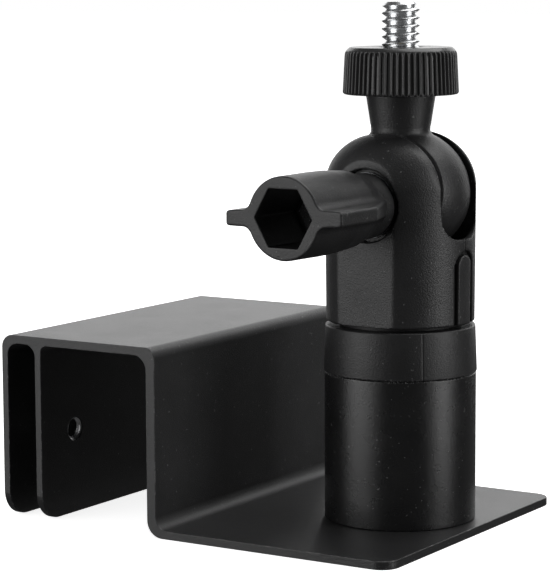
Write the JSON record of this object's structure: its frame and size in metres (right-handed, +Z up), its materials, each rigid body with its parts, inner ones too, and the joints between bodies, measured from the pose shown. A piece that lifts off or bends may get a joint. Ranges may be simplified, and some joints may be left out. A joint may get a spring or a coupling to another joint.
{
  "type": "hook-over bracket with swivel camera head",
  "caption": "Slip-over double-leg hook bracket whose foot carries a post and a panning, tilting camera head with a quarter-inch screw, lock ring and winged clamp knob.",
  "frame": {"origin": "middle of the foot's underside, halfway between wall and free edge and halfway along the extrusion", "axes": "+X away from the hook across the foot, +Y along the extrusion away from the clamp knob, +Z up along the post and camera screw"},
  "size_m": [0.0746, 0.0624, 0.0863],
  "materials": {
    "coated_aluminium": "satin black anodised or powder coated extrusion",
    "post_black": "smooth satin black",
    "head_plastic": "fine-grained matt moulded",
    "ring_plastic": "matt moulded with fine ribs",
    "friction_plastic": "smooth",
    "screw_steel": "zinc plated",
    "bright_zinc": "bright zinc plated, machined",
    "insert_brass": "machined"
  },
  "bodies": {
    "base": {"hook_bracket": "coated_aluminium", "foot_screw": "screw_steel", "spacer_post": "post_black", "swivel_collar": "head_plastic", "pan_screw": "screw_steel", "pan_washer": "friction_plastic", "spring_washer": "screw_steel"},
    "fork": {"fork_front": "head_plastic", "fork_rear": "head_plastic", "fork_core": "head_plastic", "fork_dowels": "screw_steel", "tilt_nut": "screw_steel", "friction_disc_front": "friction_plastic", "friction_disc_rear": "friction_plastic"},
    "head": {"tilt_tongue": "head_plastic", "camera_screw": "bright_zinc"},
    "ring": {"lock_ring": "ring_plastic", "ring_insert": "insert_brass"},
    "washer": {"knob_washer": "screw_steel"},
    "knob": {"tilt_knob": "head_plastic", "tilt_bolt": "bright_zinc"}
  },
  "joints": [
    {"name": "pan", "type": "hinge", "parent": "base", "child": "fork", "pos_m": [0.00675, 0.0015, 0], "axis": [0, 0, 1], "continuous": true},
    {"name": "tilt", "type": "hinge", "parent": "fork", "child": "head", "pos_m": [0.00675, 0.0015, 0.05395], "axis": [-0.0262, -0.9997, 0], "range_deg": [-90, 90]},
    {"name": "ring_turn", "type": "hinge", "parent": "head", "child": "ring", "pos_m": [0.00675, 0.0015, 0], "axis": [0, 0, 1], "continuous": true},
    {"name": "knob_travel", "type": "slide", "parent": "fork", "child": "washer", "axis": [-0.0262, -0.9997, 0], "range_m": [0, 0.0008]},
    {"name": "knob_turn", "type": "hinge", "parent": "washer", "child": "knob", "pos_m": [0.00675, 0.0015, 0.05395], "axis": [-0.0262, -0.9997, 0], "range_deg": [0, 360]}
  ],
  "couplings": [
    {"joint": "knob_turn", "follows": "knob_travel", "rad_per_m": 7854}
  ]
}
